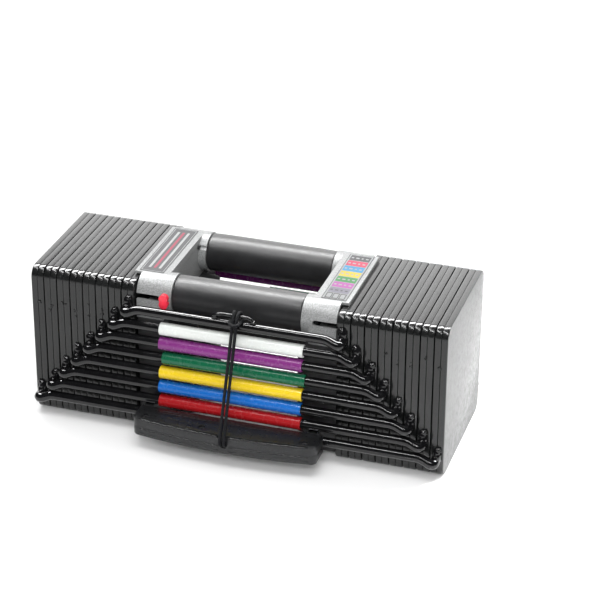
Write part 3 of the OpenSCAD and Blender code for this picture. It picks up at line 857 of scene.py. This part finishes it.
def area_light(name, place, target, size_x, size_y, power, diffuse=True, glossy=True,
               spread=180):
    data = bpy.data.lights.new(name, "AREA")
    data.shape = "RECTANGLE"
    data.size, data.size_y = size_x, size_y
    data.energy = power
    data.spread = math.radians(spread)
    light = bpy.data.objects.new(name, data)
    light.visible_diffuse = diffuse
    light.visible_glossy = glossy
    bpy.context.scene.collection.objects.link(light)
    aim = (Vector(target) - Vector(place)).to_track_quat("-Z", "Y")
    light.matrix_world = Matrix.Translation(place) @ aim.to_matrix().to_4x4()


def build_floor():
    floor = Shader("floor", (0.90, 0.90, 0.90), 0.55)
    floor.vary_colour(floor.noise(3, 2), 0.99, 1.01)
    corners = [(x * FLOOR_HALF, y * FLOOR_HALF, FLOOR_Z)
               for x, y in ((-1, -1), (1, -1), (1, 1), (-1, 1))]
    plane = mesh_object("floor", corners, [(0, 1, 2, 3)], [floor.material], smooth=False)


def build_lights():
    # The white surroundings light everything, but the black paint doesn't mirror them
    world = bpy.data.worlds.new("studio")
    bpy.context.scene.world = world
    world.use_nodes = True
    background = world.node_tree.nodes["Background"]
    background.inputs["Color"].default_value = (1, 1, 1, 1)
    background.inputs["Strength"].default_value = WORLD_STRENGTH
    world.cycles_visibility.glossy = False
    # A wall behind and two strips overhead, seen in reflections only
    area_light("back_wall", (-0.5, 2.8, 1.1), (0, 0, 0.3), 6, 1.9, 105, diffuse=False)
    area_light("strip", (-0.25, 0.75, 1.6), (0, 0, 0.1), 2.6, 0.4, 130, diffuse=False)
    area_light("rod_strip", (-0.35, -0.5, 1.6), (0, -0.08, 0.1), 2.4, 0.09, 26, diffuse=False)
    # Soft light on the object and the floor, which is never mirrored
    area_light("soft_top", (0.25, -0.75, 1.7), (0, 0, 0), 1.1, 0.6, 15, glossy=False)
    area_light("front_key", (0.7, -2.2, 1.75), (0, 0, 0), 1.0, 0.6, 34, glossy=False)
    area_light("far_floor", (-0.2, 1.35, 1.0), (-0.2, 1.35, 0), 2.4, 1.0, 9, glossy=False,
               spread=50)
    # Brightens the patch of floor that the right end mirrors
    area_light("right_floor", (0.9, 0.7, 1.0), (0.34, 0.2, 0), 0.3, 0.3, 1.7, spread=32)


# ---------------------------------------------------------------- all together
SLEEVE_COLOURS = {
    "white": (0.58, 0.60, 0.58), "purple": (0.17, 0.026, 0.16), "green": (0.004, 0.09, 0.040),
    "yellow": (0.64, 0.45, 0.013), "blue": (0.006, 0.105, 0.40), "red": (0.31, 0.007, 0.010)}
ROW_COLOURS = ((0.46, 0.035, 0.09), (0.03, 0.22, 0.42), (0.50, 0.40, 0.02),
               (0.03, 0.20, 0.045), (0.35, 0.07, 0.29), (0.17, 0.16, 0.20))


def build_weights():
    plate_coat = powder_coat("plate_coat", (0.009, 0.0095, 0.0095), 0.21, True)
    rail_coat = powder_coat("rail_coat", (0.005, 0.005, 0.0055), 0.10, False)
    build_staple(rail_coat)
    weld = weld_bead(rail_coat)
    tack = tack_weld(plate_coat)
    build_plates(plate_coat, tack)
    build_rails(rail_coat, weld)
    for spare in (weld, tack):
        bpy.data.objects.remove(spare)
    build_sleeves({t: sleeve_plastic(f"sleeve_{t}", SLEEVE_COLOURS[t]) for t in TINTS})


def build_core():
    build_housings(silver_paint(),
                   moulded("black_plastic", (0.016, 0.016, 0.017), 0.45, 1400, 0.08 * MM))
    build_pads(moulded("pad_rubber", (0.013, 0.013, 0.014), 0.42, 2200, 0.05 * MM, 0.6))
    build_grip(moulded("grip_rubber", (0.022, 0.022, 0.023), 0.6, 1600, 0.08 * MM))
    build_knobs(moulded("knob_red", (0.76, 0.03, 0.06), 0.16, 900, 0.02 * MM, 0.15),
                steel("spring_steel", (0.5, 0.5, 0.52), 0.25, (900, 900, 900)))


def build_labels():
    build_left_label(printed("label_dark", (0.09, 0.09, 0.095)),
                     printed("light_print", (0.44, 0.45, 0.45)),
                     printed("accent_print", (0.40, 0.045, 0.09)))
    build_right_label(printed("label_chart", (0.27, 0.28, 0.28)),
                      printed("grey_print", (0.07, 0.07, 0.075)),
                      [printed(f"row_{i}", colour) for i, colour in enumerate(ROW_COLOURS)])


def build_pin():
    plastic = moulded("pin_plastic", (0.009, 0.0095, 0.0105), 0.32, 1300, 0.015 * MM, 0.25)
    dark = moulded("pin_edge", (0.010, 0.010, 0.011), 0.16, 1300, 0.005 * MM, 0.15)
    build_pin_shells(plastic)
    build_pin_ribs(plastic)
    build_pin_front(plastic, dark)
    build_pin_grommet(dark)


def paint_cad_pieces():
    """Materials of the CAD pieces that are shown as they are."""
    tube_steel = steel("tube_steel", (0.42, 0.43, 0.44), 0.32, (40, 900, 900))
    adder_steel = steel("adder_steel", (0.55, 0.56, 0.57), 0.3, (40, 900, 900))
    fork_steel = steel("fork_steel", (0.36, 0.37, 0.38), 0.34, (900, 40, 900))
    magnet = steel("magnet_nickel", (0.5, 0.5, 0.5), 0.2, (600, 600, 600))
    screw_paint = powder_coat("black_screws", (0.03, 0.03, 0.032), 0.35, False)
    for material, nodes in (
            (tube_steel, ("front_tube", "rear_tube", "grip_bar", "tether_ferrule")),
            (adder_steel, ("front_adder_weight", "rear_adder_weight")),
            (fork_steel, ("pin_fork",)),
            (magnet, ("pin_magnets",)),
            (screw_paint, ("grip_bolts", "housing_screws", "pin_screws"))):
        for node in nodes:
            NODES[node].data.materials.clear()
            NODES[node].data.materials.append(material)


make_camera()
build_cord(braid())
build_weights()
build_core()
build_labels()
build_pin()
paint_cad_pieces()
build_floor()
build_lights()
bpy.context.scene.view_settings.view_transform = "Standard"
